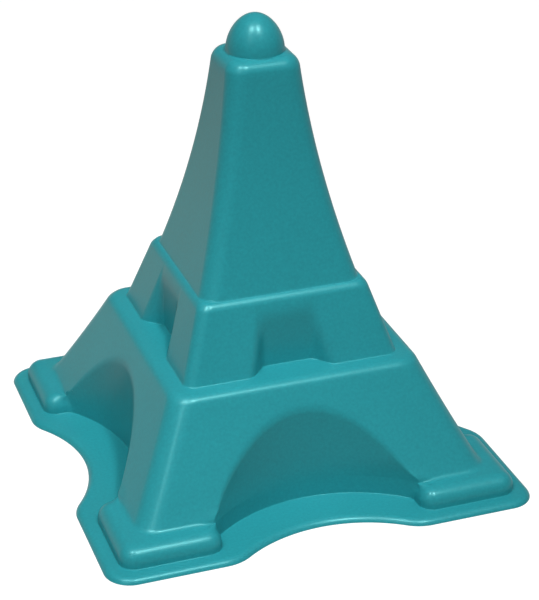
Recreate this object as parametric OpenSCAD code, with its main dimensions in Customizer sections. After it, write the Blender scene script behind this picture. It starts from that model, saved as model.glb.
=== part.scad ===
// Sand mould in the shape of a tower on four arched legs: one thin shell, open underneath,
// that is packed with sand from below, turned over and lifted off.
// Five sections of the shell are stacked along +Z, each seated on the one below.
// The origin is at the middle of the rim's underside, and all four sides are alike.

/* [Wall] */
// Thickness of the shell, measured level through its sides
wall = 1.8; // [1.2:0.1:2.4]

/* [Rim] */
// Width of the rim from edge to edge
rim_w = 171; // [152:1:200]
// Thickness of the rim
rim_t = 2.2; // [1.6:0.1:4]
// Width of the rim in front of a foot
rim_ledge = 6.1; // [3:0.1:10]
// Radius of the rim's outer corners
rim_corner_r = 10.5; // [4:0.5:16]
// Radius of the bay in each side of the rim
bay_r = 55; // [45:1:70]
// Depth of the bay
bay_depth = 12.9; // [6:0.1:15]
// Radius of the bay's rounded shoulders
bay_shoulder_r = 16.5; // [4:0.5:20]

/* [Feet] */
// Length of a foot along each of its two sides
foot_l = 38.9; // [32:0.1:44]
// Height of a foot above the rim
foot_h = 7.6; // [6:0.1:12]
// Radius of a foot's outer corner
foot_corner_r = 6.5; // [4.5:0.5:9]
// Radius of a foot's ends beside the arches
foot_end_r = 5.6; // [3.5:0.1:7]
// Rounding of a foot's top edges
foot_edge_r = 5.6; // [1:0.2:5.6]

/* [Legs and arches] */
// Ledge that a foot leaves in front of its leg
leg_ledge = 9; // [5:0.1:12]
// Height of the legs from the feet to the deck
leg_h = 42.4; // [32:0.1:60]
// Inward bow of the legs' sloping sides at half height
leg_bow = 0.4; // [0:0.1:1.5]
// Radius of the legs' corners
leg_corner_r = 8.6; // [4:0.1:10]
// Width of the deck on the legs
deck_w = 98.6; // [88:0.2:108]
// Rounding of the deck's edge
deck_edge_r = 4.5; // [0.6:0.1:5.5]
// Radius of an arched recess, seen from above
arch_r = 64; // [54:1:76]
// How far the arch's wall stands out from the deck's edge
arch_setback = 4.1; // [2:0.1:7]

/* [Upper tier] */
// Ledge that the deck leaves around the upper tier
tier_ledge = 6.3; // [4:0.1:8]
// Height of the upper tier
tier_h = 28.3; // [20:0.1:44]
// Width of the upper tier's top
tier_w = 67.6; // [58:0.2:74]
// Radius of the upper tier's corners
tier_corner_r = 4.6; // [2.6:0.1:6]
// Rounding of the upper tier's top edge
tier_edge_r = 2.2; // [0.6:0.1:2.3]
// Width of a niche's back wall
niche_w = 20; // [12:0.5:26]
// How far a niche's back wall stands out from the tier's top edge
niche_setback = 1.9; // [1:0.1:4]
// Angle that a niche's side walls open by
niche_angle = 38; // [25:1:55]

/* [Spire and dome] */
// Ledge that the upper tier leaves around the spire
spire_ledge = 1.7; // [1.6:0.1:4]
// Height of the spire
spire_h = 86.1; // [60:0.1:120]
// Width of the spire's top
spire_w = 28.2; // [22:0.2:34]
// Inward bow of the spire's sides at half height
spire_bow = 2.2; // [0:0.1:3.5]
// Radius of the spire's corners
spire_corner_r = 7; // [3.6:0.1:9]
// Rounding of the spire's top edge
spire_edge_r = 3.2; // [0.6:0.1:3.2]
// Flat left on the spire's top between its edge and the dome
dome_margin = 2.9; // [2.5:0.1:5]
// Height of the dome
dome_h = 14.2; // [8:0.1:20]

/* [Hidden] */
teal = [0.17, 0.57, 0.6];

// How far a cut runs past the face that it opens
overrun = 1;
// Smallest corner radius left on the inside of the shell and at the inner end of a rounding
least_r = 0.4;
// Steps in a quarter turn and in a rounded edge
corner_steps = 6;
edge_steps = 4;
// Steps in a bowed side for each millimetre of its bow
bow_steps_per_mm = 5;
// Facets of a full circle
$fn = 96;

// Levels at which one section seats on the next
foot_top = rim_t + foot_h;
deck_z = foot_top + leg_h;
tier_z = deck_z + tier_h;
spire_z = tier_z + spire_h;

// Half widths, from the rim inwards and upwards
rim_half = rim_w / 2;
foot_half = rim_half - rim_ledge;
foot_end = foot_half - foot_l;
leg_half = foot_half - leg_ledge;
deck_half = deck_w / 2;
tier_base_half = deck_half - tier_ledge;
tier_half = tier_w / 2;
spire_base_half = tier_half - spire_ledge;
spire_half = spire_w / 2;
dome_r = spire_half - dome_margin;

// Distance of an arch's centre line and of a niche's back wall from the tower's axis
arch_centre = deck_half + arch_setback + arch_r;
niche_back = tier_half + niche_setback;

// Points of an arc about a centre, from one angle to another
function arc(centre, r, from, to, steps) =
    [for (k = [0:steps]) let (a = from + (to - from) * k / steps) centre + r * [cos(a), sin(a)]];

// A list of points turned about the origin
function turned(points, angle) =
    [for (p = points) [p.x * cos(angle) - p.y * sin(angle), p.x * sin(angle) + p.y * cos(angle)]];

// Rectangle between two corners with a radius for each corner, counted from the lower left
function rounded_rectangle(low, high, radii) =
    let (sides = [low, [high.x, low.y], high, [low.x, high.y]],
         inward = [[1, 1], [-1, 1], [-1, -1], [1, -1]])
    [for (i = [0:3])
        each arc(sides[i] + radii[i] * inward[i], radii[i], 180 + 90 * i, 270 + 90 * i, corner_steps)];

// Square about the axis with four like corners
function rounded_square(half, r) = rounded_rectangle([-half, -half], [half, half], [r, r, r, r]);

// Half width of a leaning side at a share of its height, with its inward bow
function side_half(base, top, bow, share) = base + (top - base) * share - 4 * bow * share * (1 - share);

// Angle from upright at which such a side reaches its top
function top_lean(base, top, bow, height) = atan((base - top - 4 * bow) / height);

// Steps of a rounded top edge as pairs of inset and level, for a side that leans in by an angle
function rounded_edge(r, lean, z) =
    [for (k = [0:edge_steps]) let (a = lean + (90 - lean) * k / edge_steps)
        [r / cos(lean) - r * tan(lean) - r * cos(a), z - r + r * sin(a)]];

// Rings of a leaning, bowed, rounded square body: half width, corner radius and level of each.
// An inset above zero gives the cavity inside it, and floor_z carries the foot of the body down.
function body_rings(base, top, bow, corner_r, edge_r, base_z, top_z, inset, floor_z) =
    let (lean = top_lean(base, top, bow, top_z - base_z),
         inner_r = max(corner_r - inset, least_r),
         rounding = max(edge_r - inset, least_r),
         roof_z = top_z - inset,
         edge = rounded_edge(rounding, lean, roof_z),
         side_top = edge[0][1],
         steps = max(1, ceil(bow * bow_steps_per_mm)))
    concat(
        floor_z < base_z ? [[base - inset, inner_r, floor_z]] : [],
        [for (k = [0:steps - 1])
            let (z = base_z + (side_top - base_z) * k / steps)
            [side_half(base, top, bow, (z - base_z) / (top_z - base_z)) - inset, inner_r, z]],
        [for (e = edge)
            [side_half(base, top, bow, (roof_z - base_z) / (top_z - base_z)) - inset - e[0],
             max(inner_r - max(e[0], 0), least_r), e[1]]]);

// Skin over rings that all have the same number of points
module skin(rings) {
    count = len(rings[0]);
    last = len(rings) - 1;
    polyhedron(
        points = [for (ring = rings) each ring],
        faces = concat(
            [[for (i = [0:count - 1]) i]],
            [for (k = [0:last - 1], i = [0:count - 1])
                let (j = (i + 1) % count)
                [k * count + j, k * count + i, (k + 1) * count + i, (k + 1) * count + j]],
            [[for (i = [count - 1:-1:0]) last * count + i]]));
}

module square_body(rings)
    skin([for (s = rings) [for (p = rounded_square(s[0], s[1])) [p.x, p.y, s[2]]]]);

module on_four_sides()
    for (i = [0:3]) rotate(90 * i) children();

// One foot with rounded top edges, which runs in under its leg
module foot(inset, floor_z) {
    rounding = max(foot_edge_r - inset, least_r);
    low = foot_end + inset;
    high = foot_half - inset;
    end_r = max(foot_end_r - inset, least_r);
    outer_r = max(foot_corner_r - inset, least_r);
    steps = concat([[0, floor_z]], rounded_edge(rounding, 0, foot_top - inset));
    skin([for (s = steps)
        [for (p = rounded_rectangle([low + s[0], low + s[0]], [high - s[0], high - s[0]],
                [for (r = [end_r, end_r, outer_r, end_r]) max(r - s[0], least_r)]))
            [p.x, p.y, s[1]]]]);
}

// Legs and feet as one body, with the four arched recesses cut upright into the legs
module leg_body(inset, floor_z) {
    difference() {
        square_body(body_rings(leg_half, deck_half, leg_bow, leg_corner_r, deck_edge_r,
            foot_top, deck_z, inset, floor_z));
        on_four_sides()
            translate([0, -arch_centre, floor_z - overrun])
                cylinder(r = arch_r + inset, h = deck_z - floor_z + 2 * overrun);
    }
    on_four_sides() foot(inset, floor_z);
}

// Plan of a niche: a back wall with side walls that open outwards past the tier's face
module niche_plan() {
    reach = tier_base_half - niche_back + overrun;
    opening = reach * tan(niche_angle);
    polygon([[-niche_w / 2, -niche_back], [-niche_w / 2 - opening, -niche_back - reach],
             [niche_w / 2 + opening, -niche_back - reach], [niche_w / 2, -niche_back]]);
}

// Upper tier as one body with its four niches
module tier_body(inset, floor_z)
    difference() {
        square_body(body_rings(tier_base_half, tier_half, 0, tier_corner_r, tier_edge_r,
            deck_z, tier_z, inset, floor_z));
        on_four_sides()
            translate([0, 0, floor_z - overrun])
                linear_extrude(tier_z - floor_z + 2 * overrun)
                    offset(delta = inset) niche_plan();
    }

module spire_body(inset, floor_z)
    square_body(body_rings(spire_base_half, spire_half, spire_bow, spire_corner_r, spire_edge_r,
        tier_z, spire_z, inset, floor_z));

// Dome with an elliptical profile, turned about the axis
module dome_body(inset, floor_z) {
    r = dome_r - inset;
    h = dome_h - inset;
    rotate_extrude()
        polygon(concat([[0, floor_z], [r, floor_z]],
            [for (k = [0:2 * corner_steps])
                let (a = 90 * k / (2 * corner_steps))
                [r * cos(a), spire_z + h * sin(a)]]));
}

// Outline of the rim: round corners, and on each side a bay between two rounded shoulders
function rim_side() =
    let (rise = bay_r - bay_depth + bay_shoulder_r,
         shoulder_x = sqrt(pow(bay_r + bay_shoulder_r, 2) - pow(rise, 2)),
         shoulder_y = bay_shoulder_r - rim_half,
         turn = atan2(shoulder_x, rise),
         corner = rim_corner_r - rim_half)
    concat(
        arc([corner, corner], rim_corner_r, 180, 270, corner_steps),
        arc([-shoulder_x, shoulder_y], bay_shoulder_r, 270, 270 + turn, corner_steps),
        arc([0, shoulder_y - rise], bay_r, 90 + turn - turn / corner_steps,
            90 - turn + turn / corner_steps, 2 * corner_steps),
        arc([shoulder_x, shoulder_y], bay_shoulder_r, 270 - turn, 270, corner_steps));

module rim_flange() color(teal)
    difference() {
        linear_extrude(rim_t)
            polygon([for (i = [0:3]) each turned(rim_side(), 90 * i)]);
        leg_body(wall, -overrun);
    }

module arched_legs() color(teal)
    difference() {
        leg_body(0, rim_t);
        leg_body(wall, rim_t - overrun);
        tier_body(wall, deck_z - wall - overrun);
    }

module upper_tier() color(teal)
    difference() {
        tier_body(0, deck_z);
        tier_body(wall, deck_z - overrun);
        spire_body(wall, tier_z - wall - overrun);
    }

module spire() color(teal)
    difference() {
        spire_body(0, tier_z);
        spire_body(wall, tier_z - overrun);
        dome_body(wall, spire_z - wall - overrun);
    }

module dome_tip() color(teal)
    difference() {
        dome_body(0, spire_z);
        dome_body(wall, spire_z - overrun);
    }

rim_flange();
arched_legs();
upper_tier();
spire();
dome_tip();
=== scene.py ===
from math import acos, asin, atan, atan2, cos, degrees, hypot, pi, radians, sin, sqrt, tan

import bmesh
import bpy
from mathutils import Matrix, Vector


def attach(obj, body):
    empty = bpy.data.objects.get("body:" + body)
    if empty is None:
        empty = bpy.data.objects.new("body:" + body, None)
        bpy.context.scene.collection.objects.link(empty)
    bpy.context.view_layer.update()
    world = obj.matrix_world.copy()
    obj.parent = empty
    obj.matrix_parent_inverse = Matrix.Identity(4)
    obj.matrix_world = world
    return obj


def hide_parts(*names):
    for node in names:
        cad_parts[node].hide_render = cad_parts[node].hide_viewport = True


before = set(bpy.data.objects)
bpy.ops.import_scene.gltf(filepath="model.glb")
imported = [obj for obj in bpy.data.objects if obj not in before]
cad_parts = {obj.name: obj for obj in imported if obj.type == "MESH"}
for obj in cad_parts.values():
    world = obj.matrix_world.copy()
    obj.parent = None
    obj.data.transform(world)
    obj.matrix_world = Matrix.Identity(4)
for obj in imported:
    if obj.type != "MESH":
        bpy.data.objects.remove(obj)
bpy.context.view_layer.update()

# Sizes of the moulding are in millimetres, and one half side of it is drawn as pairs of x and depth:
# x runs along the side from its middle to its corner, and depth is the distance from the tower's axis.
MM = 0.001

WALL = 1.8

RIM_HALF, RIM_T, RIM_CORNER_R, RIM_EDGE_R = 85.5, 2.2, 10.5, 3.2
BAY_R, BAY_DEPTH, SHOULDER_R = 55, 12.9, 16.5
SIDE_BAY_SHIFT, SIDE_BAY_STRETCH = 3, 0.02

FOOT_HALF, FOOT_END, FOOT_TOP = 79.4, 39.8, 9.8
FOOT_CORNER_R, FOOT_END_R, FOOT_EDGE_R, FOOT_NOOK_R = 6.5, 5.6, 5.6, 4.5
FOOT_FILLET_R, LEAST_NOOK_R = 0.3, 0.2
# The foot's rounded top draws in its end less beside the arch, where the leg's crease comes down on it
NOOK_DRAW = 1.1

LEG_HALF, LEG_BOW, LEG_CORNER_R = 70.4, 0.4, 8.6
# The fillet at the leg's foot grows to its full size over a run beside the arch
LEG_FILLET_R, FLARE_RUN = 2.8, 6
DECK_HALF, DECK_Z, DECK_EDGE_R = 49.3, 52.2, 4.5

ARCH_R, ARCH_CENTRE = 60, 114.2
# Softness of the crease beside the arch, and the heights from which and over which it grows
ARCH_FOOT_SOFT, ARCH_SOFT, SOFT_START, SOFT_RUN = 0.35, 1.1, FOOT_TOP + 2, 10
# The front arch's shift to one side, which fades out towards the feet and below the deck
ARCH_SHIFT, SHIFT_START, SHIFT_STOP, SHIFT_RUN = -1.1, FOOT_TOP, DECK_Z - 2, 8
# Columns of the arch's wall and of its crease keep these widths where the arch has run out
LEAST_WALL_X, LEAST_CREASE_X = 5, 9
# Columns on the arch's wall lead those on the leg's fillet by this height, and then rise in small steps
WALL_LEAD, WALL_STEP, ROOF_LEAD = 0.4, 0.01, 0.6

# The spire stands on the tier's rounded edge, a little below the top that the rounding would reach
TIER_BASE, TIER_HALF, TIER_TOP = 43.1, 33.5, 81.4
TIER_CORNER_R, TIER_EDGE_R, TIER_FILLET_R = 4.6, 5, 0.7
NICHE_HALF, NICHE_BACK, NICHE_SPLAY = 10.3, 35.7, radians(37)
NICHE_EDGE_SOFT, NICHE_TOP_SOFT, NICHE_NOOK_SOFT = 3.6, 1, 2.6
LEAST_SIDE_X, LEAST_EDGE_X, NICHE_TOP_ZONE = 0.6, 0.8, 4

SPIRE_BASE, SPIRE_FOOT, SPIRE_HALF, SPIRE_Z, SPIRE_BOW = 32.1, 80.5, 14.1, 166.6, 2.2
SPIRE_CORNER_R, SPIRE_EDGE_R, SPIRE_FILLET_R = 7, 5, 0.3

# The dome's profile is a little more pointed than an ellipse, which has the power 2
DOME_R, DOME_H, DOME_POWER, DOME_FILLET_R = 11.15, 14.2, 1.88, 0.15
DOME_CLEARANCE, DOME_STEP_DOWN = 0.02, 0.01

# A section's lower piece reaches this far up past the fillet, on to the wall of the section above
UPSTAND, SPIRE_UPSTAND = 0.3, 0.7
FOOT_SEAM = RIM_T + FOOT_FILLET_R + UPSTAND
TIER_SEAM = DECK_Z + TIER_FILLET_R + UPSTAND
SPIRE_SEAM = SPIRE_FOOT + SPIRE_FILLET_R + SPIRE_UPSTAND
DOME_SEAM = SPIRE_Z + DOME_FILLET_R + UPSTAND

# Smallest corner radius, and the gap left between the last upright ring inside and a rounded edge
LEAST_R, RING_GAP = 0.4, 0.5
MERGE_DISTANCE, SHARP_ANGLE = 1e-7, radians(50)

# Columns of a half side: the wall of its recess, the crease beside that, its face and its corner
WALL_COLUMNS, CREASE_COLUMNS, FACE_COLUMNS, CORNER_COLUMNS = 18, 16, 8, 12
FOOT_END_COLUMNS = 2
HALF_COLUMNS = WALL_COLUMNS + CREASE_COLUMNS + FACE_COLUMNS + CORNER_COLUMNS
SLOPE_LEVELS, CROWN_LEVELS, DOME_STEPS = 30, 9, 24

# Sockets of a colour Mix node
FACTOR, FIRST, SECOND, COLOUR = 0, 6, 7, 2


def spread(start, stop, count):
    """Evenly spaced numbers after start, up to stop."""
    return [start + (stop - start) * (k + 1) / count for k in range(count)]


def arc(centre, radius, start, stop, count):
    """Points along an arc after its first end, with its angles in degrees."""
    return [(centre[0] + radius * cos(radians(a)), centre[1] + radius * sin(radians(a)))
            for a in spread(start, stop, count)]


def corner(reach, radius):
    """Rounded corner of a half side, up to the diagonal."""
    radius = max(radius, LEAST_R)
    return arc((reach - radius, reach - radius), radius, 90, 45, CORNER_COLUMNS)


def soft_min(a, b, softness):
    """The lesser of two depths, with the crease between them rounded."""
    overlap = max(softness - abs(a - b), 0)
    return min(a, b) - overlap * overlap / (4 * softness)


def soft_max(a, b, softness):
    """The greater of two depths, with the nook between them rounded."""
    return -soft_min(-a, -b, softness)


def at_least(x, least):
    """x where it is well above least, and least where it isn't, with a smooth change."""
    return (max(x, 0) ** 4 + least ** 4) ** 0.25


def rim_half(inset):
    """The rim's outline: bay, rounded shoulder, straight edge and corner."""
    bay_depth = RIM_HALF + BAY_R - BAY_DEPTH
    shoulder_depth = RIM_HALF - SHOULDER_R
    rise = bay_depth - shoulder_depth
    shoulder_x = sqrt((BAY_R + SHOULDER_R) ** 2 - rise ** 2)
    turn = degrees(atan2(shoulder_x, rise))
    edge, corner_r = RIM_HALF - inset, RIM_CORNER_R - inset
    return ([(0, bay_depth - BAY_R - inset)]
            + arc((0, bay_depth), BAY_R + inset, -90, turn - 90, WALL_COLUMNS)
            + arc((shoulder_x, shoulder_depth), SHOULDER_R - inset, 90 + turn, 90, CREASE_COLUMNS)
            + [(x, edge) for x in spread(shoulder_x, edge - corner_r, FACE_COLUMNS)]
            + corner(edge, corner_r))


def foot_half(inset, draw_in=0):
    """Outline through the feet: arch wall, nook and end of the foot, its front and its corner.

    draw_in pulls in the foot alone, as its rounded top edge does.
    """
    arch_r = ARCH_R + inset
    end, front = FOOT_END + inset + draw_in, FOOT_HALF - inset - draw_in
    nook_r = max(FOOT_NOOK_R * (1 - draw_in / FOOT_EDGE_R), LEAST_NOOK_R) + inset
    end_r = max(FOOT_END_R - inset - draw_in, LEAST_R)
    corner_r = max(FOOT_CORNER_R - inset - draw_in, LEAST_R)
    nook_end = FOOT_END + inset + min(draw_in, NOOK_DRAW)
    nook_x = nook_end - nook_r
    nook_depth = ARCH_CENTRE - sqrt((arch_r - nook_r) ** 2 - nook_x ** 2)
    swing = degrees(asin(nook_x / (arch_r - nook_r)))
    bends = (CREASE_COLUMNS - FOOT_END_COLUMNS) // 2
    return ([(0, ARCH_CENTRE - arch_r)]
            + arc((0, ARCH_CENTRE), arch_r, -90, swing - 90, WALL_COLUMNS)
            + arc((nook_x, nook_depth), nook_r, swing - 90, 0, bends)
            + [(nook_end + (end - nook_end) * s, nook_depth + (front - end_r - nook_depth) * s)
               for s in spread(0, 1, FOOT_END_COLUMNS)]
            + arc((end + end_r, front - end_r), end_r, 180, 90, bends)
            + [(x, front) for x in spread(end + end_r, front - corner_r, FACE_COLUMNS)]
            + corner(front, corner_r))


def arch_wall(x, inset):
    """Depth of the arch's wall beside its middle."""
    return ARCH_CENTRE - sqrt(max((ARCH_R + inset) ** 2 - x * x, 0))


def arch_x(depth, inset):
    """Where the arch's wall stands at a depth."""
    return sqrt(max((ARCH_R + inset) ** 2 - (ARCH_CENTRE - depth) ** 2, 0))


def arch_soft(z):
    """Softness of the crease beside the arch, which sharpens down to the foot."""
    share = min(max((z - SOFT_START) / SOFT_RUN, 0), 1)
    return ARCH_FOOT_SOFT + (ARCH_SOFT - ARCH_FOOT_SOFT) * share


def leg_half(reach, corner_r, inset=0, flare=0, soft=ARCH_FOOT_SOFT):
    """Outline through the legs: arch wall, its crease, the slope and the corner.

    flare widens the slope where it meets the foot, but not beside the arch.
    """
    crease, edge = reach, reach + flare
    low = at_least(arch_x(crease - soft, inset), LEAST_WALL_X)
    high = at_least(arch_x(crease + soft, inset), LEAST_CREASE_X)
    xs = ([0] + spread(0, low, WALL_COLUMNS) + spread(low, high, CREASE_COLUMNS)
          + spread(high, edge - corner_r, FACE_COLUMNS))

    def slope(x):
        return crease + flare * min(max((x - high) / FLARE_RUN, 0), 1)

    return [(x, soft_min(slope(x), arch_wall(x, inset), soft)) for x in xs] + corner(edge, corner_r)


def tier_half(reach, corner_r, inset=0):
    """Outline through the upper tier: back and side of the niche, its crease, the face and the corner."""
    back = NICHE_BACK - inset
    back_x = NICHE_HALF + inset * tan((pi / 2 - NICHE_SPLAY) / 2)
    bend = NICHE_NOOK_SOFT * tan(NICHE_SPLAY)
    nook = (back_x - bend, back_x + bend)

    def niche_x(depth):
        return back_x + (depth - back) * tan(NICHE_SPLAY)

    def niche_wall(x):
        return back + soft_max(0, (x - back_x) / tan(NICHE_SPLAY), NICHE_NOOK_SOFT)

    def edge_soft(x):
        share = min(max((x - nook[0]) / (2 * bend), 0), 1)
        return NICHE_TOP_SOFT + (NICHE_EDGE_SOFT - NICHE_TOP_SOFT) * share * share * (3 - 2 * share)

    low = nook[1] + at_least(niche_x(reach - NICHE_EDGE_SOFT) - nook[1], LEAST_SIDE_X)
    high = low + at_least(niche_x(reach + NICHE_EDGE_SOFT) - low, LEAST_EDGE_X)
    third = WALL_COLUMNS // 3
    xs = ([0] + spread(0, nook[0], third) + spread(nook[0], nook[1], third) + spread(nook[1], low, third)
          + spread(low, high, CREASE_COLUMNS) + spread(high, reach - corner_r, FACE_COLUMNS))
    return [(x, soft_min(reach, niche_wall(x), edge_soft(x))) for x in xs] + corner(reach, corner_r)


def plain_half(reach, corner_r):
    """Outline of a plain side with its corner."""
    corner_r = max(corner_r, LEAST_R)
    return ([(0, reach)] + [(x, reach) for x in spread(0, reach - corner_r, HALF_COLUMNS - CORNER_COLUMNS)]
            + corner(reach, corner_r))


def round_half(radius):
    """An eighth of a circle, for a round opening."""
    return [(0, radius)] + arc((0, 0), radius, 90, 45, HALF_COLUMNS)


def clear_of(half, radius):
    """A half side pushed out where it comes inside a circle."""
    pushes = [max(radius / hypot(x, depth), 1) for x, depth in half]
    return [(x * push, depth * push) for (x, depth), push in zip(half, pushes)]


def level(half, z, wall_z=None):
    """All four sides of a level section. wall_z is the height of the columns on a recess's wall."""
    wall = WALL_COLUMNS + 1
    heights = [z if wall_z is None else wall_z] * wall + [z] * (len(half) - wall)
    right = [(x, -depth, height) for (x, depth), height in zip(half, heights)]
    side = [(-x, y, height) for x, y, height in right[:0:-1]] + right[:-1]
    ring = []
    for _ in range(4):
        ring += [Vector(point) * MM for point in side]
        side = [(-y, x, height) for x, y, height in side]
    return ring


def round_over(radius, lean, top, count, stop=pi / 2):
    """Insets and heights over a rounded top edge, from a side that leans in by an angle."""
    angles = [lean] + spread(lean, stop, count)
    return [(radius / cos(lean) - radius * tan(lean) - radius * cos(a), top - radius + radius * sin(a))
            for a in angles]


def fillet_up(radius, lean, floor, count):
    """Flares and heights up the hollow fillet at the foot of a side that leans in by an angle."""
    angles = [pi / 2] + spread(pi / 2, lean, count)
    return [(radius / cos(lean) - radius * tan(lean) - radius * cos(a), floor + radius - radius * sin(a))
            for a in angles]


def bowed_side(base, top, bow, share):
    """Reach of a leaning side at a share of its height, with its inward bow."""
    return base + (top - base) * share - 4 * bow * share * (1 - share)


def leg_reach(z):
    return bowed_side(LEG_HALF, DECK_HALF, LEG_BOW, (z - FOOT_TOP) / (DECK_Z - FOOT_TOP))


def tier_reach(z):
    return bowed_side(TIER_BASE, TIER_HALF, 0, (z - DECK_Z) / (TIER_TOP - DECK_Z))


def spire_reach(z):
    return bowed_side(SPIRE_BASE, SPIRE_HALF, SPIRE_BOW, (z - SPIRE_FOOT) / (SPIRE_Z - SPIRE_FOOT))


def dome_reach(z):
    return DOME_R * (1 - ((z - SPIRE_Z) / DOME_H) ** DOME_POWER) ** (1 / DOME_POWER)


def lean_at(reach, z):
    """Angle from upright at which a side leans in at a height."""
    return atan(reach(z - 0.5) - reach(z + 0.5))


def skin_through(name, sections):
    """A closed piece whose skin runs through its sections in turn, and from the last back to the first."""
    bm = bmesh.new()
    ring = bmesh.ops.create_circle(bm, segments=len(sections[0]), radius=1)["verts"]
    for vert, place in zip(ring, sections[0]):
        vert.co = place
    for section in sections[1:] + sections[:1]:
        edges = [bm.edges.get(pair) for pair in zip(ring, ring[1:] + ring[:1])]
        grown = bmesh.ops.extrude_edge_only(bm, edges=edges)["geom"]
        fresh = {part for part in grown if isinstance(part, bmesh.types.BMVert)}
        ring = [next(e.other_vert(v) for e in v.link_edges if e.other_vert(v) in fresh) for v in ring]
        for vert, place in zip(ring, section):
            vert.co = place
    bmesh.ops.remove_doubles(bm, verts=bm.verts, dist=MERGE_DISTANCE)
    return finished(name, bm)


def finished(name, bm):
    """The piece as an object at the origin, smooth but for its seams, standing for its CAD node."""
    bmesh.ops.recalc_face_normals(bm, faces=bm.faces)
    mesh = bpy.data.meshes.new(name)
    bm.to_mesh(mesh)
    bm.free()
    mesh.shade_smooth()
    mesh.set_sharp_from_angle(angle=SHARP_ANGLE)
    piece = bpy.data.objects.new(name, mesh)
    bpy.context.scene.collection.objects.link(piece)
    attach(piece, "root")
    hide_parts(name.removesuffix("_moulding"))
    return piece


def bays_moved(ring):
    """The rim's outline with the bays of the two sides moved back, which fades out towards the corners."""
    reach = (RIM_HALF - RIM_CORNER_R) * MM
    for point in ring:
        if abs(point.x) > abs(point.y):
            stretch = 1 - SIDE_BAY_STRETCH * point.y / MM
            point.y += SIDE_BAY_SHIFT * MM * stretch * max(1 - (point.y / reach) ** 4, 0)
    return ring


def rim_sections():
    """From the open inside out under the rim, over its edge and up to the feet."""
    edge = round_over(RIM_EDGE_R, asin(1 - RIM_T / RIM_EDGE_R), RIM_T, count=8)
    return ([level(foot_half(WALL), 0)]
            + [bays_moved(level(rim_half(inset - edge[0][0]), z)) for inset, z in edge]
            + [level(foot_half(-flare), z) for flare, z in fillet_up(FOOT_FILLET_R, 0, RIM_T, count=5)]
            + [level(foot_half(0), FOOT_SEAM), level(foot_half(WALL), FOOT_SEAM)])


def leg_levels(start, apex, stop):
    """Heights up the legs, close together about the top of the arch."""
    below = [start + (apex - start) * (1 - (1 - s) ** 2) for s in spread(0, 1, SLOPE_LEVELS)]
    above = [apex + (stop - apex) * s ** 2 for s in spread(0, 1, CROWN_LEVELS)]
    return below + above


def arch_top():
    """Height at which the arch's wall runs out into the slope."""
    low, high = FOOT_TOP, DECK_Z
    for _ in range(40):
        middle = (low + high) / 2
        if leg_reach(middle) > ARCH_CENTRE - ARCH_R:
            low = middle
        else:
            high = middle
    return low


def arches_moved(rings):
    """The legs' rings with the front arch moved to one side, which fades out towards the corners."""
    for point in (point for ring in rings for point in ring):
        z = point.z / MM
        share = min(max(min(z - SHIFT_START, SHIFT_STOP - z) / SHIFT_RUN, 0), 1)
        if -point.y > abs(point.x):
            point.x += ARCH_SHIFT * MM * share * (1 - (point.x / point.y) ** 4)
    return rings


def leg_sections():
    """Up the outside of the feet and the legs to the deck, and down again inside."""
    lean = lean_at(leg_reach, FOOT_TOP)
    fillet = fillet_up(LEG_FILLET_R, lean, FOOT_TOP, count=6)
    deck_lean = lean_at(leg_reach, DECK_Z)
    deck_edge = round_over(DECK_EDGE_R, deck_lean, DECK_Z, count=6)
    slope_start, slope_stop = fillet[-1][1], deck_edge[0][1]
    wall_start = slope_start + WALL_LEAD
    apex = arch_top()
    outer = [level(foot_half(0), FOOT_SEAM)]
    outer += [level(foot_half(0, inset), z)
              for inset, z in round_over(FOOT_EDGE_R, 0, FOOT_TOP, count=8)]
    wall_heights = spread(FOOT_TOP, wall_start, len(fillet))
    outer += [level(leg_half(LEG_HALF, LEG_CORNER_R + max(flare, 0), flare=flare), z, wall_z)
              for (flare, z), wall_z in zip(fillet, wall_heights)]
    outer += [level(leg_half(leg_reach(z), LEG_CORNER_R, soft=arch_soft(z)), z,
                    max(z, wall_start + WALL_STEP * k))
              for k, z in enumerate(leg_levels(slope_start, apex, slope_stop))]
    outer += [level(leg_half(DECK_HALF - inset, LEG_CORNER_R - max(inset, 0), soft=ARCH_SOFT), z)
              for inset, z in deck_edge[1:]]
    tier_lean = lean_at(tier_reach, DECK_Z)
    outer += [level(tier_half(TIER_BASE + flare, TIER_CORNER_R + max(flare, 0), -max(flare, 0)), z)
              for flare, z in fillet_up(TIER_FILLET_R, tier_lean, DECK_Z, count=5)]
    outer += [level(tier_half(tier_reach(TIER_SEAM), TIER_CORNER_R), TIER_SEAM)]

    roof, ceiling = FOOT_TOP - WALL, DECK_Z - WALL
    inner = [level(tier_half(tier_reach(TIER_SEAM) - WALL, TIER_CORNER_R - WALL, WALL), TIER_SEAM),
             level(tier_half(TIER_BASE - WALL, TIER_CORNER_R - WALL, WALL), ceiling)]
    ceiling_edge = round_over(LEAST_R, deck_lean, ceiling, count=2)
    ceiling_reach = leg_reach(ceiling) - WALL
    inner_corner = LEG_CORNER_R - WALL
    inner += [level(leg_half(ceiling_reach - inset, inner_corner - max(inset, 0), WALL), z)
              for inset, z in reversed(ceiling_edge)]
    down = leg_levels(roof + ROOF_LEAD, apex, ceiling_edge[0][1])[:-1]
    inner += [level(leg_half(leg_reach(max(z, FOOT_TOP)) - WALL, inner_corner, WALL), z)
              for z in reversed(down)]
    inner += [level(leg_half(LEG_HALF - WALL, inner_corner, WALL), roof, roof + WALL_LEAD)]
    inner += [level(foot_half(WALL, inset), z)
              for inset, z in reversed(round_over(FOOT_EDGE_R - WALL, 0, roof, count=4))]
    inner += [level(foot_half(WALL), FOOT_SEAM)]
    return arches_moved(outer + inner)


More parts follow.
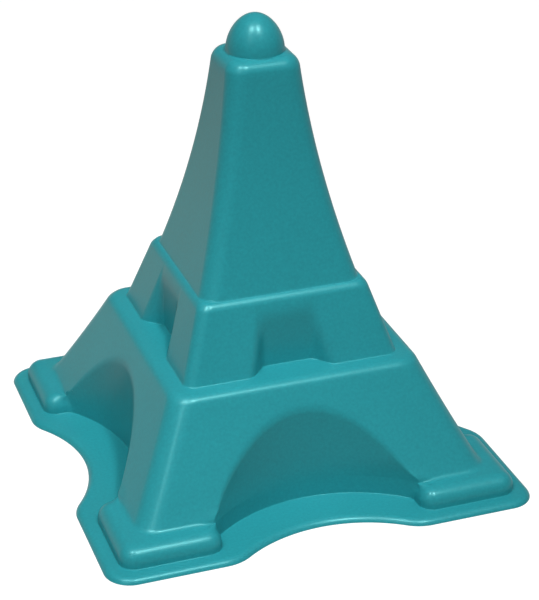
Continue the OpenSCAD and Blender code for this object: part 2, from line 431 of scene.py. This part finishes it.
def tier_sections():
    """Up the outside of the upper tier to the spire's foot, and down again inside."""
    lean = lean_at(tier_reach, TIER_TOP)
    spire_lean = lean_at(spire_reach, SPIRE_FOOT)
    ledge = TIER_HALF - SPIRE_BASE - SPIRE_FILLET_R * (1 / cos(spire_lean) - tan(spire_lean))
    edge_stop = acos(1 / cos(lean) - tan(lean) - ledge / TIER_EDGE_R)
    edge = round_over(TIER_EDGE_R, lean, TIER_TOP, count=10, stop=edge_stop)
    niche_zone = DECK_Z + (TIER_BASE - NICHE_BACK) / tan(lean) - NICHE_TOP_ZONE
    heights = ([TIER_SEAM] + spread(TIER_SEAM, niche_zone, count=10)
               + spread(niche_zone, edge[0][1], count=14))
    outer = [level(tier_half(tier_reach(z), TIER_CORNER_R), z) for z in heights]
    outer += [level(tier_half(TIER_HALF - inset, TIER_CORNER_R - max(inset, 0)), z)
              for inset, z in edge[1:]]
    outer += [level(plain_half(SPIRE_BASE + flare, SPIRE_CORNER_R + max(flare, 0)), z)
              for flare, z in fillet_up(SPIRE_FILLET_R, spire_lean, edge[-1][1], count=5)]
    outer += [level(plain_half(spire_reach(SPIRE_SEAM), SPIRE_CORNER_R), SPIRE_SEAM)]

    roof = SPIRE_FOOT - WALL
    inner = [level(plain_half(spire_reach(SPIRE_SEAM) - WALL, SPIRE_CORNER_R - WALL), SPIRE_SEAM),
             level(plain_half(SPIRE_BASE - WALL, SPIRE_CORNER_R - WALL), roof)]
    inner_corner = TIER_CORNER_R - WALL
    roof_edge = round_over(LEAST_R, lean, roof, count=2)
    inner += [level(tier_half(tier_reach(roof) - WALL - inset, inner_corner - max(inset, 0), WALL), z)
              for inset, z in reversed(roof_edge[1:])]
    inner += [level(tier_half(tier_reach(z) - WALL, inner_corner, WALL), z)
              for z in reversed([h for h in heights if h < roof_edge[0][1] - RING_GAP])]
    return outer + inner


def spire_sections():
    """Up the outside of the spire to the dome's foot, and down again inside."""
    edge = round_over(SPIRE_EDGE_R, lean_at(spire_reach, SPIRE_Z), SPIRE_Z, count=10)
    heights = [SPIRE_SEAM] + spread(SPIRE_SEAM, edge[0][1], count=30)
    outer = [level(plain_half(spire_reach(z), SPIRE_CORNER_R), z) for z in heights]
    flares = fillet_up(DOME_FILLET_R, 0, SPIRE_Z, count=5)
    clear_r = DOME_R + flares[0][0] + DOME_CLEARANCE
    outer += [level(clear_of(plain_half(SPIRE_HALF - inset, SPIRE_CORNER_R - max(inset, 0)), clear_r),
                    z - DOME_STEP_DOWN) for inset, z in edge[1:]]
    outer += [level(round_half(DOME_R + flare), z) for flare, z in flares]
    outer += [level(round_half(dome_reach(DOME_SEAM)), DOME_SEAM)]

    opening, roof = DOME_R - WALL, SPIRE_Z - WALL
    inner = [level(round_half(opening), DOME_SEAM), level(round_half(opening), roof)]
    inner_corner = SPIRE_CORNER_R - WALL
    roof_edge = round_over(SPIRE_EDGE_R - WALL, lean_at(spire_reach, roof), roof, count=4)
    inner += [level(plain_half(spire_reach(roof) - WALL - inset, inner_corner - max(inset, 0)), z)
              for inset, z in reversed(roof_edge[1:])]
    inner += [level(plain_half(spire_reach(z) - WALL, inner_corner), z)
              for z in reversed([h for h in heights if h < roof_edge[0][1] - RING_GAP])]
    return outer + inner


def dome_moulding():
    """The dome, spun from its profile outside and from one a wall's thickness smaller inside."""
    bm = bmesh.new()
    base = asin(((DOME_SEAM - SPIRE_Z) / DOME_H) ** (DOME_POWER / 2))

    def profile(radius, height, a):
        return radius * max(cos(a), 0) ** (2 / DOME_POWER), height * sin(a) ** (2 / DOME_POWER)

    outside = [profile(DOME_R, DOME_H, a) for a in [base] + spread(base, pi / 2, DOME_STEPS)]
    inside = [profile(DOME_R - WALL, DOME_H - WALL, a)
              for a in [pi / 2] + spread(pi / 2, base, DOME_STEPS)]
    outside[0] = (outside[0][0], DOME_SEAM - SPIRE_Z)
    inside[-1] = (DOME_R - WALL, DOME_SEAM - SPIRE_Z)
    verts = [bm.verts.new((r * MM, 0, (SPIRE_Z + h) * MM)) for r, h in outside + inside]
    tip = verts[DOME_STEPS]
    edges = [bm.edges.new(pair) for pair in zip(verts, verts[1:] + verts[:1]) if pair[0] is not tip]
    bmesh.ops.spin(bm, geom=verts + edges, cent=(0, 0, 0), axis=(0, 0, 1), angle=2 * pi,
                   steps=HALF_COLUMNS * 8, use_merge=True)
    bmesh.ops.remove_doubles(bm, verts=bm.verts, dist=MERGE_DISTANCE)
    return finished("dome_tip_moulding", bm)


class Wire:
    """A shader socket that takes part in sums as a number does."""

    def __init__(self, bench, socket):
        self.bench, self.socket = bench, socket

    def sum(self, operation, first, second):
        return self.bench.node("ShaderNodeMath", {"operation": operation}, {0: first, 1: second})

    def __add__(self, other):
        return self.sum("ADD", self, other)

    def __mul__(self, other):
        return self.sum("MULTIPLY", self, other)

    def __sub__(self, other):
        return self.sum("SUBTRACT", self, other)

    def __rsub__(self, other):
        return self.sum("SUBTRACT", other, self)

    __radd__, __rmul__ = __add__, __mul__


class Bench:
    """The node tree of a material or the world, on which nodes are set out one by one."""

    def __init__(self, owner):
        owner.use_nodes = True
        self.tree = owner.node_tree
        self.tree.nodes.clear()

    def node(self, kind, settings=None, inputs=None, output=0):
        made = self.tree.nodes.new(kind)
        for name, value in (settings or {}).items():
            setattr(made, name, value)
        for name, value in (inputs or {}).items():
            if isinstance(value, Wire):
                self.tree.links.new(value.socket, made.inputs[name])
            else:
                made.inputs[name].default_value = value
        return Wire(self, made.outputs[output]) if made.outputs else made


def moulded_plastic():
    """Satin teal plastic with a fine grain and a faint unevenness of tone."""
    material = bpy.data.materials.new("satin_teal_plastic")
    bench = Bench(material)
    place = bench.node("ShaderNodeTexCoord", output="Object")
    cloud = bench.node("ShaderNodeTexNoise", inputs={"Vector": place, "Scale": 30, "Detail": 2})
    grain = bench.node("ShaderNodeTexNoise", inputs={"Vector": place, "Scale": 900, "Detail": 3})
    shade = 0.5 + 1.4 * (grain - 0.5) + 0.4 * (cloud - 0.5)
    tone = bench.node("ShaderNodeMix", {"data_type": "RGBA"},
                      {FACTOR: shade, FIRST: (0.017, 0.232, 0.266, 1), SECOND: (0.021, 0.3, 0.345, 1)},
                      output=COLOUR)
    bump = bench.node("ShaderNodeBump", inputs={"Strength": 0.08, "Distance": 0.0002, "Height": grain})
    surface = bench.node("ShaderNodeBsdfPrincipled", inputs={
        "Base Color": tone, "Roughness": 0.3 + 0.06 * grain, "Normal": bump, "IOR": 1.5,
        "Specular IOR Level": 0.6, "Specular Tint": (0.42, 1, 1, 1)})
    bench.node("ShaderNodeOutputMaterial", inputs={"Surface": surface})
    return material


def pale_floor():
    """A wide floor that shows white to the camera and keeps the object's soft shadow. To glossy rays it
    also glows, which paints a reflection on the plastic.
    """
    bm = bmesh.new()
    bmesh.ops.create_grid(bm, x_segments=1, y_segments=1, size=4)
    mesh = bpy.data.meshes.new("floor")
    bm.to_mesh(mesh)
    bm.free()
    floor = bpy.data.objects.new("floor", mesh)
    bpy.context.scene.collection.objects.link(floor)
    material = bpy.data.materials.new("pale_floor")
    bench = Bench(material)
    seen = bench.node("ShaderNodeLightPath", output="Is Camera Ray")
    mirrored = bench.node("ShaderNodeLightPath", output="Is Glossy Ray")
    matte = bench.node("ShaderNodeBsdfDiffuse", inputs={"Color": (0.15, 0.145, 0.13, 1)})
    # Painted reflection: the floor also glows a little to glossy rays, so the plastic shows a reflection
    # of it that no lamp casts.
    glow = bench.node("ShaderNodeEmission", inputs={
        "Color": (1, 1, 1, 1), "Strength": 0.97 * seen + 0.35 * mirrored})
    both = bench.node("ShaderNodeAddShader", inputs={0: matte, 1: glow})
    bench.node("ShaderNodeOutputMaterial", inputs={"Surface": both})
    mesh.materials.append(material)


def studio_light():
    """A pale surround, white to the camera, three lamps with narrow beams and a warm patch of floor."""
    world = bpy.data.worlds.new("pale_surround")
    bpy.context.scene.world = world
    bench = Bench(world)
    seen = bench.node("ShaderNodeLightPath", output="Is Camera Ray")
    place = bench.node("ShaderNodeTexCoord")
    depth = bench.node("ShaderNodeSeparateXYZ", inputs={0: place}, output="Y")
    height = bench.node("ShaderNodeSeparateXYZ", inputs={0: place}, output="Z")
    behind = bench.node("ShaderNodeMapRange", {"interpolation_type": "SMOOTHSTEP"},
                        {"Value": depth, "From Min": -0.2, "From Max": 0.6})
    above = bench.node("ShaderNodeMapRange", inputs={"Value": height, "From Min": 0, "From Max": 0.8})
    low = bench.node("ShaderNodeMapRange", inputs={"Value": height, "From Min": 0.3, "From Max": 0.05})
    glow = behind * low
    strength = 0.13 + 0.2 * above - 0.12 * behind + 0.5 * glow + seen
    colour = bench.node("ShaderNodeMix", {"data_type": "RGBA"},
                        {FACTOR: glow, FIRST: (1, 1, 1, 1), SECOND: (1, 0.75, 0.5, 1)}, output=COLOUR)
    sky = bench.node("ShaderNodeBackground", inputs={"Color": colour, "Strength": strength})
    bench.node("ShaderNodeOutputWorld", inputs={"Surface": sky})

    def lamp(name, place, aim, size, power, beam, colour=(1, 1, 1)):
        light = bpy.data.lights.new(name, "AREA")
        light.shape, light.size, light.size_y = "RECTANGLE", *size
        light.energy, light.spread, light.color = power, radians(beam), colour
        holder = bpy.data.objects.new(name, light)
        turn = (Vector(aim) - Vector(place)).to_track_quat("-Z", "Y")
        holder.matrix_world = Matrix.Translation(place) @ turn.to_matrix().to_4x4()
        bpy.context.scene.collection.objects.link(holder)

    base, strip = (-0.035, -0.01, 0.035), (0.2, 0.5)
    lamp("right_lamp", (0.177, -0.984, 1.912), base, strip, 0.385, 18)
    lamp("left_lamp", (-0.741, -0.672, 1.912), base, strip, 0.32, 18)
    lamp("low_lamp", (-1.096, -1.217, 1.147), base, strip, 0.04, 18)
    lamp("floor_lamp", (-0.25, 0.38, 0.9), (-0.25, 0.38, 0), (0.1, 0.1), 0.95, 40, (1, 0.78, 0.5))


def photo_camera():
    """A camera at the photograph's view, for an image of 539 by 600 pixels."""
    azimuth, elevation, roll = radians(-18.76), radians(27.01), radians(-0.44)
    distance, aim = 0.75774, Vector((0, 0, 0.06136))
    focal_px, centre_px = 1909, (256.99, 301.4)
    width, height = 539, 600
    back = Vector((sin(azimuth) * cos(elevation), -cos(azimuth) * cos(elevation), sin(elevation)))
    right = Vector((cos(azimuth), sin(azimuth), 0))
    turn = Matrix((right, back.cross(right), back)).transposed() @ Matrix.Rotation(roll, 3, "Z")
    lens = bpy.data.cameras.new("photo_camera")
    lens.sensor_width = 36
    lens.lens = focal_px / height * lens.sensor_width
    lens.shift_x = (width / 2 - centre_px[0]) / height
    lens.shift_y = (centre_px[1] - height / 2) / height
    lens.clip_start, lens.clip_end = 0.01, 20
    camera = bpy.data.objects.new("photo_camera", lens)
    camera.matrix_world = Matrix.Translation(aim + back * distance) @ turn.to_4x4()
    bpy.context.scene.collection.objects.link(camera)
    bpy.context.scene.camera = camera


photo_camera()
pieces = [skin_through("rim_flange_moulding", rim_sections()),
          skin_through("arched_legs_moulding", leg_sections()),
          skin_through("upper_tier_moulding", tier_sections()),
          skin_through("spire_moulding", spire_sections()),
          dome_moulding()]
plastic = moulded_plastic()
for piece in pieces:
    piece.data.materials.append(plastic)
pale_floor()
studio_light()
bpy.context.scene.view_settings.view_transform = "Standard"
